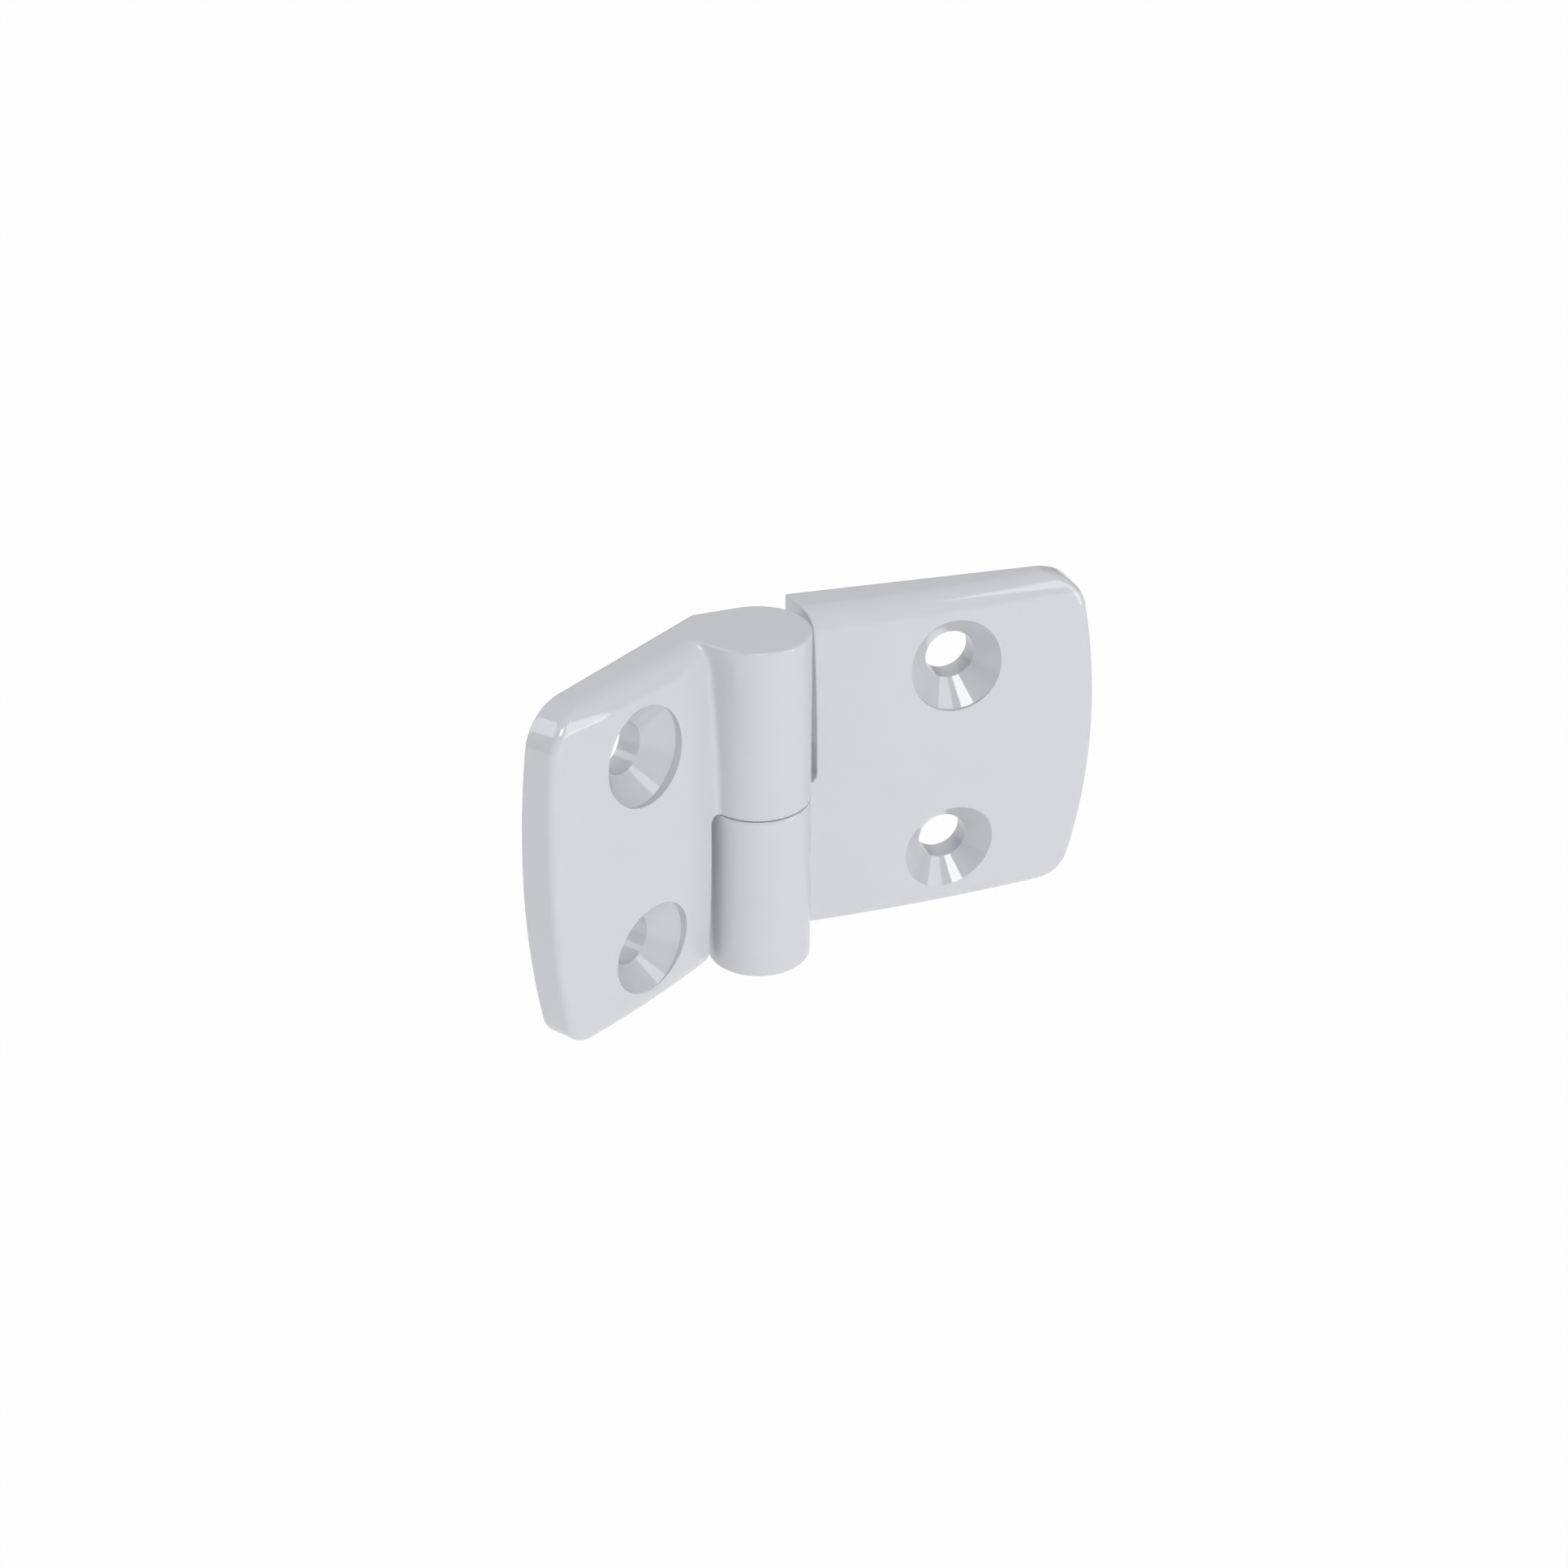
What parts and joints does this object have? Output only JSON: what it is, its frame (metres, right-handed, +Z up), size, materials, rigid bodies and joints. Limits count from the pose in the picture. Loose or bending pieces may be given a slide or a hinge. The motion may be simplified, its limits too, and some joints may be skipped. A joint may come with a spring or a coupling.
{
  "type": "combination hinge",
  "caption": "Lift-off hinge of a wide and a narrow cast leaf on a shared pin, with crowned faces and countersunk screw holes.",
  "frame": {"origin": "on the wide leaf's mounting face, midway between its two screw holes, level with the split between the knuckles", "axes": "+X outwards along the wide leaf, away from the pin; +Y out of the mounting face, into what the wide leaf is screwed to; +Z up along the pin"},
  "size_m": [0.0767, 0.027, 0.0448],
  "materials": {
    "cast_leaf": "silver-grey powder coat on die-cast zinc, semi-gloss",
    "pin_steel": "ground steel",
    "bearing_brass": "turned brass"
  },
  "bodies": {
    "wide_side": {"wide_leaf": "cast_leaf", "hinge_pin": "pin_steel"},
    "washer": {"thrust_washer": "bearing_brass"},
    "narrow_side": {"narrow_leaf": "cast_leaf", "bearing_bush": "bearing_brass"}
  },
  "joints": [
    {"name": "swing", "type": "hinge", "parent": "wide_side", "child": "washer", "pos_m": [-0.026, -0.0086, 0], "axis": [0, 0, 1], "range_deg": [-90, 135]},
    {"name": "lift_off", "type": "slide", "parent": "washer", "child": "narrow_side", "axis": [0, 0, 1], "range_m": [0, 0.02]}
  ]
}
